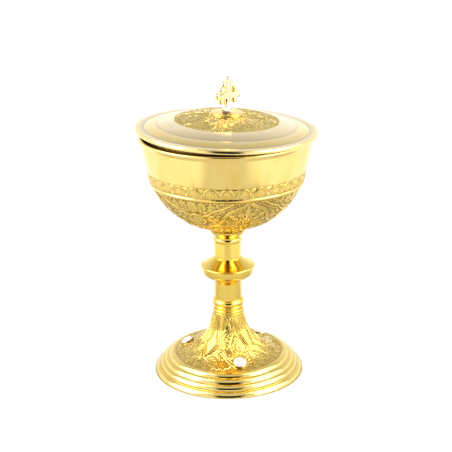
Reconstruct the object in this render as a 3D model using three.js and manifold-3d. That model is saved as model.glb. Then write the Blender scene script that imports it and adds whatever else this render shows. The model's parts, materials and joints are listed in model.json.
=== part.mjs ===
// A lidded ciborium: a stepped round foot with three set stones, a stem with a knop, a cup with a
// rolled lip, and a domed lid that carries a budded cross. Millimetres, +Z up. The origin is the
// centre of the foot's lower edge, and the front faces -Y.

import * as THREE from 'three';
import { mergeVertices } from 'three/addons/utils/BufferGeometryUtils.js';
import Module from 'manifold-3d';

const wasm = await Module();
wasm.setup();

// Driving dimensions: the foot
const footRadius = 55.3;
const footHeight = 51.2;
const footWall = 1.4;
const mouldingBulge = 0.95;
const mouldingEdges = [
  [51.75, 4.1],
  [48.9, 8.05],
  [44.8, 11.5],
  [40.7, 14.1],
];
const neckRadius = 10.6;
const neckBandRadius = 11.4;
const neckBandHeight = 3.3;
const neckBeadHeight = 2.3;
const neckBeadBulge = 0.5;

// How the foot's flank climbs from the top moulding to the neck band, in shares of its run and rise
const flankShape = [
  [0, 0],
  [0.195, 0.048],
  [0.365, 0.117],
  [0.519, 0.206],
  [0.672, 0.321],
  [0.792, 0.441],
  [0.877, 0.568],
  [0.928, 0.695],
  [1, 1],
];

// Driving dimensions: the stones on the foot
const stoneCount = 3;
const stoneFirstAngle = -75.7;
const stoneCircleRadius = 32.3;
const stoneTilt = 24;
const stoneRadius = 4.3;
const stoneCrown = 1.3;
const stoneGirdle = 0.5;
const stonePavilion = 0.8;
const stoneTableRadius = 2.2;
const settingWall = 0.45;
const settingHeight = 1.4;
const settingSeatHeight = 0.5;
const settingLedge = 0.8;
const settingBevel = 0.25;
const padRise = 0.35;
const padRim = 0.5;
const padThickness = 1.2;

// Driving dimensions: the stem, from the foot up
const stemWall = 1.3;
const stemRingHeight = 4.8;
const stemRingRadius = 11.7;
const lowerTubeRadius = 10;
const lowerTubeLength = 13.3;
const knopRadius = 19;
const knopLowerHeight = 11.4;
const knopLipRadius = 19.7;
const knopLipHeight = 1.7;
const knopConeRadius = 17.4;
const knopUpperHeight = 7.2;
const upperTubeRadius = 9.6;
const upperTubeLength = 12.1;
const seatShoulder = 0.5;
const collarHeight = 10.2;
const collarTopRadius = 13.8;
const collarBeadRadius = 10.5;
const collarBeadHeight = 3;
const collarBeadFoot = 0.7;

// Driving dimensions: the rod that holds the stem together, with its boss, washer and nut
const rodRadius = 3;
const rodBoreClearance = 0.3;
const threadClearance = 0.05;
const rodReach = 4.4;
const rodTail = 3;
const bossRadius = 9.5;
const bossHeight = 5;
const bossClearance = 0.4;
const washerRadius = 8.4;
const washerThickness = 1.2;
const nutHeight = 5;
const nutFlats = 10;

// Driving dimensions: the cup
const cupHeight = 69.8;
const cupWall = 1.3;
const bandHeight = 45.6;
const bandRadius = 57.2;
const rimRadius = 62.9;
const lipOverhang = 1.3;
const throatDepth = 3.7;
const lipHeight = 1.9;
const lipBulge = 0.5;

// The cup's wall just under the lip, which the lid's locating ring drops into
const throatRadius = rimRadius - lipOverhang;

// How the belly widens from the collar to the ornamented band, in shares of its run and rise
const bellyShape = [
  [0, 0],
  [0.116, 0.061],
  [0.285, 0.127],
  [0.454, 0.215],
  [0.736, 0.456],
  [0.94, 0.785],
  [1, 1],
];

// Driving dimensions: the lid, in heights above the face that rests on the cup's lip
const lidWall = 1.3;
const lidRimClearance = 0.4;
const lidRimWall = 1.3;
const lidRimBulge = 0.3;
const lidSkirtDepth = 0.8;
const flangeHeight = 2;
const flangeWidth = 6;
const shoulderHeight = 2.5;
const shoulderWidth = 9.1;
const shoulderBulge = 0.6;
const domeRadius = 37.5;
const domeEdgeRise = 3.2;
const browHollow = 0.35;
const domeRise = 4.3;
const domeBulge = 0.9;
const seatPlateRadius = 11.8;
const seatPlateThickness = 1.2;
const seatPlateBevel = 0.6;
const locatingRingDepth = 5;
const locatingRingWall = 1;
const locatingRingClearance = 1.6;

// How the lid lies at rest, a little askew on the lip, and the gap between touching faces
const lidTilt = 2.2;
const restGap = 0.3;

// Driving dimensions: the cross, its foot block and its screw, with the washer and nut inside the lid
const crossTurn = 44;
const crossBar = 4.3;
const crossFootLength = 11.7;
const crossTopArm = 13.2;
const crossSideArm = 12.2;
const crossBlockHeight = 1.6;
const crossBlockTop = 6;
const crossBlockBase = 8;
const budRadius = 2.2;
const budSpread = 3.8;
const budSetback = 3.6;
const screwRadius = 1.6;
const screwTail = 1.5;
const lidNutHeight = 2.6;
const lidNutFlats = 6;
const lidWasherRadius = 5;
const lidWasherThickness = 0.8;

// Facets round each turned piece, and steps along its curves
const largeSides = 44;
const smallSides = 28;
const tinySides = 16;
const longCurveSteps = 10;
const shortCurveSteps = 6;
const arcSteps = 3;
const roundSteps = 5;

const deg = Math.PI / 180;

// Finishes
const gold = { color: 0xe6bb5a, metalness: 1, roughness: 0.16 };
const satinGold = { color: 0xe3b85c, metalness: 1, roughness: 0.3 };
const paleGold = { color: 0xe4d2a4, metalness: 1, roughness: 0.14 };
const steel = { color: 0xb9bcc0, metalness: 1, roughness: 0.35 };
const crystal = { color: 0xf4f7fa, metalness: 0, roughness: 0.03 };

// A closed body: shared corners merged, slivers dropped and every face turned outwards.
function closedBody(geometry) {
  const bare = geometry.clone();
  bare.deleteAttribute('normal');
  bare.deleteAttribute('uv');
  const merged = mergeVertices(bare, 1e-4);
  const index = merged.index.array;
  const kept = [];
  for (let i = 0; i < index.length; i += 3) {
    const [a, b, c] = [index[i], index[i + 1], index[i + 2]];
    if (a !== b && b !== c && c !== a) kept.push(a, b, c);
  }
  merged.setIndex(kept);
  if (signedVolume(merged) < 0) {
    for (let i = 0; i < kept.length; i += 3) [kept[i], kept[i + 1]] = [kept[i + 1], kept[i]];
    merged.setIndex(kept);
  }
  return merged;
}

function signedVolume(geometry) {
  const corner = [new THREE.Vector3(), new THREE.Vector3(), new THREE.Vector3()];
  const index = geometry.index.array;
  let volume = 0;
  for (let i = 0; i < index.length; i += 3) {
    corner.forEach((v, k) => v.fromBufferAttribute(geometry.attributes.position, index[i + k]));
    volume += corner[0].dot(corner[1].cross(corner[2])) / 6;
  }
  return volume;
}

function toSolid(geometry) {
  const body = closedBody(geometry);
  const mesh = new wasm.Mesh({
    numProp: 3,
    vertProperties: new Float32Array(body.attributes.position.array),
    triVerts: new Uint32Array(body.index.array),
  });
  return new wasm.Manifold(mesh);
}

function toGeometry(solid) {
  const mesh = solid.getMesh();
  const geometry = new THREE.BufferGeometry();
  const corners = new Float32Array(mesh.vertProperties);
  geometry.setAttribute('position', new THREE.BufferAttribute(corners, 3));
  geometry.setIndex(Array.from(mesh.triVerts));
  return geometry;
}

function joined(geometries) {
  const [first, ...rest] = geometries.map(toSolid);
  return toGeometry(rest.reduce((whole, part) => whole.add(part), first));
}

// A body turned round +Z from a closed outline of [radius, height] points.
function turned(outline, sides) {
  const points = outline.map(([radius, height]) => new THREE.Vector2(radius, height));
  points.push(points[0].clone());
  return closedBody(new THREE.LatheGeometry(points, sides).rotateX(Math.PI / 2));
}

// An upright rod or disc that stands on z = 0.
function rod(radius, height, sides) {
  return new THREE.CylinderGeometry(radius, radius, height, sides)
    .rotateX(Math.PI / 2)
    .translate(0, 0, height / 2);
}

// Points on a smooth curve through a few guide points.
function smooth(guides, steps) {
  const knots = guides.map(([radius, height]) => new THREE.Vector2(radius, height));
  return new THREE.SplineCurve(knots).getPoints(steps).map((p) => [p.x, p.y]);
}

// Points on an arc from one end to the other that stands proud of the chord by the bulge,
// to the right-hand side of the way from start to end.
function arc(start, end, bulge, steps) {
  const [a, b] = [new THREE.Vector2(...start), new THREE.Vector2(...end)];
  const along = b.clone().sub(a);
  const half = along.length() / 2;
  along.normalize();
  const side = new THREE.Vector2(along.y, -along.x);
  const radius = (half * half + bulge * bulge) / (2 * bulge);
  const sweep = Math.asin(Math.min(1, half / radius));
  const middle = a.clone().add(b).multiplyScalar(0.5).addScaledVector(side, bulge - radius);
  const points = [];
  for (let i = 0; i <= steps; i += 1) {
    const t = sweep * ((2 * i) / steps - 1);
    points.push([
      middle.x + radius * (Math.cos(t) * side.x + Math.sin(t) * along.x),
      middle.y + radius * (Math.cos(t) * side.y + Math.sin(t) * along.y),
    ]);
  }
  return points;
}

// A hexagonal nut round the Z axis, from z = 0 up.
function nut(flats, height, boreRadius) {
  const shape = new THREE.Shape();
  const cornerRadius = flats / 2 / Math.cos(30 * deg);
  for (let i = 0; i < 6; i += 1) {
    const angle = i * 60 * deg;
    const corner = [cornerRadius * Math.cos(angle), cornerRadius * Math.sin(angle)];
    if (i === 0) shape.moveTo(...corner);
    else shape.lineTo(...corner);
  }
  shape.closePath();
  shape.holes.push(new THREE.Path().absarc(0, 0, boreRadius, 0, 2 * Math.PI, true));
  const settings = { depth: height, bevelEnabled: false, curveSegments: tinySides / 2 };
  return closedBody(new THREE.ExtrudeGeometry(shape, settings));
}

function ringPlate(outerRadius, boreRadius, thickness, sides) {
  return turned(
    [
      [boreRadius, 0],
      [outerRadius, 0],
      [outerRadius, thickness],
      [boreRadius, thickness],
    ],
    sides,
  );
}

function tube(outerRadius, wall, length) {
  return ringPlate(outerRadius, outerRadius - wall, length, smallSides);
}

function piece(name, geometry, finish, z = 0) {
  const mesh = new THREE.Mesh(geometry, new THREE.MeshStandardMaterial(finish));
  mesh.name = name;
  mesh.position.z = z;
  return mesh;
}

const rodBore = rodRadius + rodBoreClearance;
const model = new THREE.Group();

// Foot: four half-round mouldings, then a bell flank that climbs to a banded neck with a bead.
const flankFoot = mouldingEdges[mouldingEdges.length - 1];
const beadFoot = footHeight - neckBeadHeight;
const flankTop = [neckBandRadius, beadFoot - neckBandHeight];
const flank = flankShape.map(([run, rise]) => [
  flankFoot[0] - run * (flankFoot[0] - flankTop[0]),
  flankFoot[1] + rise * (flankTop[1] - flankFoot[1]),
]);

// Each stone's collet stands on a small flat pad that is raised from the flank.
const settingRadius = stoneRadius + settingWall;
const padRadius = settingRadius + padRim;
const stonePlaces = [];
for (let i = 0; i < stoneCount; i += 1) {
  const angle = (stoneFirstAngle + (i * 360) / stoneCount) * deg;
  const padHeight = heightOnFlank(stoneCircleRadius) + padRise;
  const place = new THREE.Matrix4().makeRotationZ(angle);
  place.multiply(new THREE.Matrix4().makeTranslation(stoneCircleRadius, 0, padHeight));
  place.multiply(new THREE.Matrix4().makeRotationY(stoneTilt * deg));
  stonePlaces.push(place);
}

function heightOnFlank(radius) {
  const points = smooth(flank, 4 * longCurveSteps);
  const i = points.findIndex((point) => point[0] <= radius);
  const [low, high] = [points[i - 1], points[i]];
  return low[1] + ((low[0] - radius) / (low[0] - high[0])) * (high[1] - low[1]);
}

function footBody() {
  const outer = [[footRadius - footWall, 0]];
  let from = [footRadius, 0];
  for (const edge of mouldingEdges) {
    outer.push(...arc(from, edge, mouldingBulge, arcSteps).slice(0, -1));
    from = edge;
  }
  const grooveRadius = neckRadius - neckBeadBulge;
  outer.push(...smooth(flank, longCurveSteps), [neckRadius, beadFoot]);
  outer.push(...arc([grooveRadius, beadFoot], [grooveRadius, footHeight], neckBeadBulge, arcSteps));

  const sideOffset = 0.6 * footWall;
  const inside = smooth(flank, shortCurveSteps).reverse().slice(0, -1);
  const inner = [
    [rodBore, footHeight],
    [rodBore, footHeight - footWall],
    [neckRadius - footWall, footHeight - footWall],
    [neckRadius - footWall, beadFoot - footWall],
    ...inside.map(([radius, height]) => [radius - sideOffset, height - footWall]),
    ...[...mouldingEdges].reverse().map(([radius, height]) => [radius - footWall, height - footWall]),
  ];
  const shell = turned([...outer, ...inner], largeSides);
  const pads = stonePlaces.map((place) => {
    return rod(padRadius, padThickness, tinySides).translate(0, 0, -padThickness).applyMatrix4(place);
  });
  return joined([shell, ...pads]);
}

function settingBody() {
  const ledgeRadius = stoneRadius - settingLedge;
  const slope = stonePavilion / stoneRadius;
  return turned(
    [
      [ledgeRadius, 0],
      [settingRadius, 0],
      [settingRadius, settingHeight - settingBevel],
      [settingRadius - settingBevel, settingHeight],
      [stoneRadius, settingHeight],
      [stoneRadius, settingSeatHeight],
      [ledgeRadius, settingSeatHeight - slope * settingLedge],
    ],
    tinySides,
  );
}

function stoneBody() {
  const girdleRadius = stoneRadius - restGap;
  const outline = [
    [0, -stonePavilion],
    [girdleRadius, 0],
    [girdleRadius, stoneGirdle],
    [(girdleRadius + stoneTableRadius) / 2 + restGap, stoneGirdle + 0.6 * stoneCrown],
    [stoneTableRadius, stoneGirdle + stoneCrown],
    [0, stoneGirdle + stoneCrown],
  ];
  const points = outline.map(([radius, height]) => new THREE.Vector2(radius, height));
  return closedBody(new THREE.LatheGeometry(points, tinySides).rotateX(Math.PI / 2));
}

model.add(piece('foot_shell', footBody(), gold));
stonePlaces.forEach((place, i) => {
  const group = new THREE.Group();
  group.applyMatrix4(place);
  group.add(piece(`stone_setting_${i + 1}`, settingBody(), gold, restGap));
  group.add(piece(`stone_${i + 1}`, stoneBody(), crystal, 2 * restGap + settingSeatHeight));
  model.add(group);
});

// Stem: ring, lower tube, knop in two spun halves, upper tube and collar, stacked on the foot.
const lowerTubeFoot = footHeight + stemRingHeight;
const knopFoot = lowerTubeFoot + lowerTubeLength;
const knopSeam = knopFoot + knopLowerHeight;
const upperTubeFoot = knopSeam + knopUpperHeight;
const collarFoot = upperTubeFoot + upperTubeLength;
const cupFoot = collarFoot + collarHeight;

function stemRingBody() {
  const grooveRadius = lowerTubeRadius + seatShoulder;
  return turned(
    [
      [rodBore, 0],
      ...arc([grooveRadius, 0], [grooveRadius, stemRingHeight], stemRingRadius - grooveRadius, roundSteps),
      [rodBore, stemRingHeight],
    ],
    smallSides,
  );
}

function knopLowerBody() {
  const seatRadius = lowerTubeRadius + seatShoulder;
  const swell = knopRadius - seatRadius;
  const belly = [
    [seatRadius, 0],
    [seatRadius + 0.29 * swell, 0.24 * knopLowerHeight],
    [seatRadius + 0.64 * swell, 0.42 * knopLowerHeight],
    [seatRadius + 0.88 * swell, 0.56 * knopLowerHeight],
    [seatRadius + 0.98 * swell, 0.74 * knopLowerHeight],
    [knopRadius, knopLowerHeight],
  ];
  const inside = smooth(belly, shortCurveSteps).reverse().slice(0, -1);
  return turned(
    [
      [rodBore, 0],
      ...smooth(belly, longCurveSteps),
      [knopRadius - stemWall, knopLowerHeight],
      ...inside.slice(1).map(([radius, height]) => [radius - stemWall, height + 0.8 * stemWall]),
      [rodBore, stemWall],
    ],
    smallSides,
  );
}

function knopUpperBody() {
  const seatRadius = upperTubeRadius + seatShoulder;
  return turned(
    [
      [knopRadius - stemWall, 0],
      ...arc([knopRadius, 0], [knopRadius, knopLipHeight], knopLipRadius - knopRadius, roundSteps),
      [knopConeRadius, knopLipHeight + 0.2],
      [seatRadius, knopUpperHeight],
      [rodBore, knopUpperHeight],
      [rodBore, knopUpperHeight - stemWall],
      [seatRadius - 0.8 * stemWall, knopUpperHeight - stemWall],
      [knopConeRadius - stemWall, knopLipHeight - 0.6 * stemWall],
    ],
    smallSides,
  );
}

function collarBody() {
  const coveRadius = upperTubeRadius + seatShoulder;
  const coveFoot = collarBeadFoot + collarBeadHeight;
  const flare = collarTopRadius - coveRadius;
  const funnelHeight = collarHeight - coveFoot;
  const funnel = [
    [coveRadius, coveFoot],
    [coveRadius + 0.1 * flare, coveFoot + 0.2 * funnelHeight],
    [coveRadius + 0.4 * flare, coveFoot + 0.42 * funnelHeight],
    [coveRadius + 0.8 * flare, coveFoot + 0.72 * funnelHeight],
    [collarTopRadius, collarHeight],
  ];
  const bossBore = bossRadius + bossClearance;
  const bossFloor = collarHeight - bossHeight - bossClearance;
  const beadBulge = collarBeadRadius - coveRadius;
  return turned(
    [
      [rodBore, 0],
      [coveRadius, 0],
      ...arc([coveRadius, collarBeadFoot], [coveRadius, coveFoot], beadBulge, roundSteps),
      ...smooth(funnel, shortCurveSteps).slice(1),
      [bossBore, collarHeight],
      [bossBore, bossFloor],
      [rodBore, bossFloor],
    ],
    smallSides,
  );
}

const lowerTube = tube(lowerTubeRadius, stemWall, lowerTubeLength);
const upperTube = tube(upperTubeRadius, stemWall, upperTubeLength);

model.add(piece('stem_ring', stemRingBody(), gold, footHeight));
model.add(piece('stem_tube_lower', lowerTube, satinGold, lowerTubeFoot));
model.add(piece('knop_lower', knopLowerBody(), gold, knopFoot));
model.add(piece('knop_upper', knopUpperBody(), gold, knopSeam));
model.add(piece('stem_tube_upper', upperTube, satinGold, upperTubeFoot));
model.add(piece('cup_collar', collarBody(), gold, collarFoot));

// Tie rod: it screws into the boss under the cup, and a nut draws everything down onto the foot.
const rodTop = cupFoot - bossHeight + rodReach;
const washerFoot = footHeight - footWall - washerThickness;
const nutFoot = washerFoot - nutHeight;
const rodFoot = nutFoot - rodTail;
const threadRadius = rodRadius + threadClearance;

const bossBody = turned(
  [
    [0, bossHeight],
    [0, rodReach + restGap],
    [threadRadius, rodReach + restGap],
    [threadRadius, 0],
    [bossRadius, 0],
    [bossRadius, bossHeight],
  ],
  smallSides,
);
const rodBody = closedBody(rod(rodRadius, rodTop - rodFoot, smallSides));
const washerBody = ringPlate(washerRadius, rodBore, washerThickness, smallSides);

model.add(piece('cup_boss', bossBody, satinGold, cupFoot - bossHeight));
model.add(piece('tie_rod', rodBody, steel, rodFoot));
model.add(piece('foot_washer', washerBody, steel, washerFoot));
model.add(piece('foot_nut', nut(nutFlats, nutHeight, rodBore), steel, nutFoot));

// Cup: a pointed belly up to the ornamented band, an almost straight wall and a rounded lip.
function cupBody() {
  const belly = bellyShape.map(([widening, rise]) => [
    collarTopRadius + widening * (bandRadius - collarTopRadius),
    rise * bandHeight,
  ]);
  const throat = [throatRadius, cupHeight - throatDepth];
  const lipFoot = [rimRadius - lipBulge, cupHeight - lipHeight];
  const lipTop = [rimRadius - 2 * lipBulge, cupHeight];
  const wallRise = 0.35 * cupWall;
  const inside = smooth([...belly.slice(1), throat], shortCurveSteps + 2).reverse();
  return turned(
    [
      [0, 0],
      ...smooth([...belly, throat], longCurveSteps + 3),
      ...arc(lipFoot, lipTop, lipBulge, arcSteps),
      [throatRadius - 0.5 * cupWall, cupHeight],
      ...inside.map(([radius, height]) => [radius - cupWall, height + wallRise]),
      [collarTopRadius - cupWall, cupWall + wallRise],
      [0, cupWall],
    ],
    largeSides,
  );
}

model.add(piece('cup_shell', cupBody(), gold, cupFoot));

// Lid, in heights above the face that rests on the lip.
const lidInnerRadius = rimRadius + lidRimClearance;
const lidRadius = lidInnerRadius + lidRimWall;
const shoulderFoot = [lidRadius - flangeWidth, flangeHeight];
const crease = [shoulderFoot[0] - shoulderWidth, flangeHeight + shoulderHeight];
const domeEdge = [domeRadius, crease[1] + domeEdgeRise];
const domeTop = domeEdge[1] + domeRise;
const screwBore = screwRadius + restGap;

function lidBody() {
  const brow = [
    ...arc(shoulderFoot, crease, shoulderBulge, arcSteps),
    ...arc(crease, domeEdge, -browHollow, arcSteps).slice(1),
    ...arc(domeEdge, [seatPlateRadius, domeTop], domeBulge, roundSteps).slice(1),
  ];
  const underside = brow.filter((point, i) => i > 0 && i % 2 === 0).reverse();
  const edgeRadius = lidRadius - lidRimBulge;
  return turned(
    [
      [lidInnerRadius, -lidSkirtDepth],
      ...arc([edgeRadius, -lidSkirtDepth], [edgeRadius, flangeHeight], lidRimBulge, arcSteps),
      ...brow,
      [screwBore, domeTop],
      [screwBore, domeTop - lidWall],
      ...underside.map(([radius, height]) => [radius - 0.3 * lidWall, height - lidWall]),
      [shoulderFoot[0] - lidWall, 0],
      [lidInnerRadius, 0],
    ],
    largeSides,
  );
}

// The locating ring hangs under the flange and reaches into the cup's mouth.
function locatingRingBody() {
  const outerRadius = throatRadius - cupWall - locatingRingClearance;
  return ringPlate(outerRadius, outerRadius - locatingRingWall, locatingRingDepth, largeSides);
}

const plateFoot = domeTop + restGap;
const crossFoot = plateFoot + seatPlateThickness + restGap;
const lidWasherFoot = domeTop - lidWall - restGap - lidWasherThickness;
const lidNutFoot = lidWasherFoot - restGap - lidNutHeight;

const seatPlateBody = turned(
  [
    [screwBore, 0],
    [seatPlateRadius, 0],
    [seatPlateRadius, seatPlateThickness - seatPlateBevel],
    [seatPlateRadius - seatPlateBevel, seatPlateThickness],
    [screwBore, seatPlateThickness],
  ],
  smallSides,
);

// Cross: square bars with a ball bud at each tip and two beside it, on a foot block and a screw.
function crossBody() {
  const centre = crossFootLength;
  const height = crossFootLength + crossTopArm - budRadius;
  const width = 2 * (crossSideArm - budRadius);
  const blockTurn = 45 * deg;
  const cornerShare = Math.SQRT1_2;
  const block = new THREE.CylinderGeometry(
    crossBlockTop * cornerShare,
    crossBlockBase * cornerShare,
    crossBlockHeight,
    4,
  );
  const screwLength = crossFoot - lidNutFoot + screwTail;
  const parts = [
    new THREE.BoxGeometry(crossBar, crossBar, height).translate(0, 0, height / 2),
    new THREE.BoxGeometry(width, crossBar, crossBar).translate(0, 0, centre),
    block.rotateY(blockTurn).rotateX(Math.PI / 2).translate(0, 0, crossBlockHeight / 2),
    rod(screwRadius, screwLength + crossBlockHeight, tinySides).translate(0, 0, -screwLength),
  ];
  const armEnds = [
    [0, 1, crossTopArm],
    [1, 0, crossSideArm],
    [-1, 0, crossSideArm],
  ];
  for (const [dx, dz, length] of armEnds) {
    const tip = length - budRadius;
    const back = tip - budSetback;
    const buds = [
      [dx * tip, dz * tip],
      [dx * back + dz * budSpread, dz * back + dx * budSpread],
      [dx * back - dz * budSpread, dz * back - dx * budSpread],
    ];
    for (const [x, z] of buds) {
      parts.push(new THREE.SphereGeometry(budRadius, 8, 6).translate(x, 0, centre + z));
    }
  }
  return joined(parts).rotateZ(crossTurn * deg);
}

// The lid's own frame lies on the lip at the right and is tipped up towards the left.
const lid = new THREE.Group();
lid.position.set(rimRadius, 0, cupFoot + cupHeight + restGap);
lid.rotation.y = lidTilt * deg;
const lidPieces = new THREE.Group();
lidPieces.position.x = -rimRadius;
const lidWasherBody = ringPlate(lidWasherRadius, screwBore, lidWasherThickness, tinySides);
lidPieces.add(piece('lid_shell', lidBody(), paleGold));
lidPieces.add(piece('lid_locating_ring', locatingRingBody(), gold, -restGap - locatingRingDepth));
lidPieces.add(piece('cross_seat_plate', seatPlateBody, gold, plateFoot));
lidPieces.add(piece('cross', crossBody(), gold, crossFoot));
lidPieces.add(piece('lid_washer', lidWasherBody, steel, lidWasherFoot));
lidPieces.add(piece('lid_nut', nut(lidNutFlats, lidNutHeight, screwBore), steel, lidNutFoot));
lid.add(lidPieces);
model.add(lid);

export default model;
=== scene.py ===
"""A gilt ciborium on a pale studio floor: foot with set stones, knopped stem, chased cup and lid."""

import json
import math

import bpy
import numpy as np
from mathutils import Matrix, Vector


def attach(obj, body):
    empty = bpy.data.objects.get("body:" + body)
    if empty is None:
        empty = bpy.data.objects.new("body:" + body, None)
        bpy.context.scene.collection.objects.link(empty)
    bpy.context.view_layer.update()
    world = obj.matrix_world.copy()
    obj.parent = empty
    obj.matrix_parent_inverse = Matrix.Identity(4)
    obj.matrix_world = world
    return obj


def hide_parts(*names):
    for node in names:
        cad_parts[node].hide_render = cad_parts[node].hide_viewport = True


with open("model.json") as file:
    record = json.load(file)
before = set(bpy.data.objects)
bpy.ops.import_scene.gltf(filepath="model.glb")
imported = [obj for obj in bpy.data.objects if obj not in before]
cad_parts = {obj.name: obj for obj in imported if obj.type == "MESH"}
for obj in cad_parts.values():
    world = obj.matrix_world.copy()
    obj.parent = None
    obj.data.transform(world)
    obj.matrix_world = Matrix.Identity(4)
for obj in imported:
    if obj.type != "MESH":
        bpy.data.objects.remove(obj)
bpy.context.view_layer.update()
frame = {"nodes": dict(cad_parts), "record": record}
MM = 0.001

# Heights in millimetres at which the turned pieces stack up, then how the lid and its cross lie
FOOT_TOP = 51.2
LOWER_TUBE_FOOT = 56.0
KNOP_FOOT = 69.3
KNOP_SEAM = 80.7
UPPER_TUBE_FOOT = 87.9
COLLAR_FOOT = 100.0
CUP_FOOT = 110.2
CUP_TOP = 180.0
RIM_RADIUS = 62.9
LID_TILT = 2.2
LID_REST = CUP_TOP + 0.3
CROSS_TURN = 44


# Camera, lamps, sky and floor

CAMERA_PLACE = (-0.00103, -0.8253, 0.3871)
LOOKS_DOWN = 18.47
LEANS = -0.66
LENS = 95.5


def set_up_camera():
    """The photograph's view: 83 cm away from the vessel, looking down on it from the front."""
    data = bpy.data.cameras.new("camera")
    data.sensor_width = 36
    data.lens = LENS
    data.clip_start = 0.05
    data.clip_end = 20
    camera = bpy.data.objects.new("camera", data)
    tilt_down = Matrix.Rotation(math.radians(90 - LOOKS_DOWN), 4, "X")
    roll = Matrix.Rotation(math.radians(LEANS), 4, "Z")
    camera.matrix_world = Matrix.Translation(CAMERA_PLACE) @ tilt_down @ roll
    bpy.context.scene.collection.objects.link(camera)
    bpy.context.scene.camera = camera


def soft_box(name, place, aim, width, height, power):
    data = bpy.data.lights.new(name, "AREA")
    data.shape = "RECTANGLE"
    data.size = width
    data.size_y = height
    data.energy = power
    lamp = bpy.data.objects.new(name, data)
    lamp.location = place
    lamp.rotation_euler = (Vector(aim) - Vector(place)).to_track_quat("-Z", "Y").to_euler()
    bpy.context.scene.collection.objects.link(lamp)


class Wire:
    """A socket of a material, on which arithmetic lays Math nodes."""

    def __init__(self, tree, socket):
        self.tree = tree
        self.socket = socket

    def math(self, operation, *others):
        node = self.tree.nodes.new("ShaderNodeMath")
        node.operation = operation
        for plug, value in zip(node.inputs, (self, *others)):
            connect(self.tree, value, plug)
        return Wire(self.tree, node.outputs[0])

    def reflected(self, operation, other):
        node = self.tree.nodes.new("ShaderNodeMath")
        node.operation = operation
        connect(self.tree, other, node.inputs[0])
        connect(self.tree, self, node.inputs[1])
        return Wire(self.tree, node.outputs[0])

    def __add__(self, other):
        return self.math("ADD", other)

    def __sub__(self, other):
        return self.math("SUBTRACT", other)

    def __mul__(self, other):
        return self.math("MULTIPLY", other)

    def __truediv__(self, other):
        return self.math("DIVIDE", other)

    def __pow__(self, other):
        return self.math("POWER", other)

    def __radd__(self, other):
        return self.reflected("ADD", other)

    def __rsub__(self, other):
        return self.reflected("SUBTRACT", other)

    def __rmul__(self, other):
        return self.reflected("MULTIPLY", other)

    def __rtruediv__(self, other):
        return self.reflected("DIVIDE", other)

    def clamped(self):
        return self.math("MAXIMUM", 0.0).math("MINIMUM", 1.0)

    def eased(self, low, high):
        """0 below low, 1 above high and a smooth rise between."""
        share = ((self - low) / (high - low)).clamped()
        return share * share * (3.0 - 2.0 * share)


def connect(tree, value, plug):
    if isinstance(value, Wire):
        tree.links.new(value.socket, plug)
    else:
        plug.default_value = value


class Recipe:
    """A material or a sky under construction."""

    def __init__(self, owner):
        owner.use_nodes = True
        self.owner = owner
        self.tree = owner.node_tree
        self.tree.nodes.clear()

    def node(self, kind, settings=None, output=0, **plugs):
        """Adds a node: its settings first, then the values or wires of its named inputs."""
        node = self.tree.nodes.new(kind)
        for name, value in (settings or {}).items():
            setattr(node, name, value)
        for name, value in plugs.items():
            plug = node.inputs[int(name[1:])] if name[0] == "_" else node.inputs[name.replace("_", " ")]
            connect(self.tree, value, plug)
        return Wire(self.tree, node.outputs[output]) if len(node.outputs) else None

    def place(self):
        return self.node("ShaderNodeTexCoord", output="Object")

    def noise(self, where, scale, detail=3.0, roughness=0.5):
        return self.node("ShaderNodeTexNoise", Vector=where, Scale=scale, Detail=detail, Roughness=roughness)

    def blend(self, factor, first, second):
        return self.node(
            "ShaderNodeMix", {"data_type": "RGBA"}, output=2, _0=factor, _6=first, _7=second
        )

    def attribute(self, name):
        return self.node("ShaderNodeAttribute", {"attribute_name": name}, output="Fac")

    def measures(self, where):
        """The three measures of a place or a direction."""
        split = self.node("ShaderNodeSeparateXYZ", Vector=where)
        return [Wire(self.tree, plug) for plug in split.socket.node.outputs]

    def finish(self, surface):
        owner = "World" if isinstance(self.owner, bpy.types.World) else "Material"
        self.node(f"ShaderNodeOutput{owner}", Surface=surface)
        return self.owner


def set_up_sky():
    """White studio walls, with an unlit front where the camera stands."""
    sky = Recipe(bpy.data.worlds.new("studio"))
    way = sky.node("ShaderNodeTexCoord", output="Generated")
    sideways, ahead, above = sky.measures(way)
    across = sideways.math("ABSOLUTE")
    dark = (1.0 - across.eased(0.24, 0.46)) * (1.0 - ahead.eased(-0.75, -0.6)) * (1.0 - above.eased(0.5, 0.7))
    front = 0.74 + 0.44 * (1.0 - above.eased(0.0, 0.78))
    rear = 0.6 + 0.4 * (1.0 - above.eased(0.3, 0.88)) + 0.2 * (1.0 - above.eased(0.2, 0.34))
    walls = (front + (rear - front) * ahead.eased(-0.1, 0.4) + 0.12 * across.eased(0.45, 0.9)) * (1.0 - dark)
    seen = sky.node("ShaderNodeLightPath", output="Is Camera Ray")
    light = sky.node("ShaderNodeBackground", Color=(1, 1, 1, 1), Strength=seen.math("MAXIMUM", walls))
    bpy.context.scene.world = sky.finish(light)


def set_up_lamps():
    soft_box("left_soft_box", (-0.66, -0.12, 0.62), (-0.1, 0, 0.05), 0.8, 0.8, 6.2)
    soft_box("right_soft_box", (0.66, -0.12, 0.62), (0.1, 0, 0.05), 0.8, 0.8, 5.6)
    soft_box("left_front_strip", (-0.78, -0.28, 0.3), (0, 0, 0.05), 0.55, 0.28, 2.5)
    soft_box("right_front_strip", (0.7, -0.45, 0.3), (0, 0, 0.05), 0.55, 0.28, 2.3)


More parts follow.
